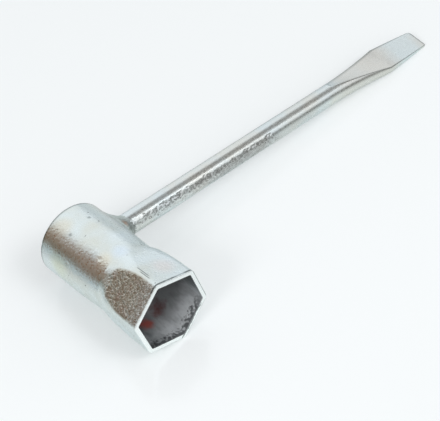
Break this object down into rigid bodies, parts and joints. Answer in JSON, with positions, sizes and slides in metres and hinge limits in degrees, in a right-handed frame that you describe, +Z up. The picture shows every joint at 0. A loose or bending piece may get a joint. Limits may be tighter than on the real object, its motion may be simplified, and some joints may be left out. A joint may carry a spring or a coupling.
{
  "type": "spark plug wrench",
  "caption": "Tube socket with a hexagon mouth for spark plugs, welded square to a round handle bar whose far end is forged into a flat screwdriver blade.",
  "frame": {"origin": "centre of the bounding box's base, with the tool lying at rest: a corner of the hexagon, the rear rim and the blade's tip touch z = 0", "axes": "+X along the handle bar towards the blade, +Y from the socket's mouth to its rear, +Z up"},
  "size_m": [0.1656, 0.0476, 0.0267],
  "materials": {
    "zinc_plated_tube": "bright zinc plated, worn, with rust-brown stains",
    "zinc_plated_bar": "bright zinc plated, pitted along one side",
    "plated_weld": "thinly plated weld metal, dull, with rust spots"
  },
  "bodies": {
    "root": {"socket_tube": "zinc_plated_tube", "handle_bar": "zinc_plated_bar", "weld_bead": "plated_weld"}
  },
  "joints": []
}
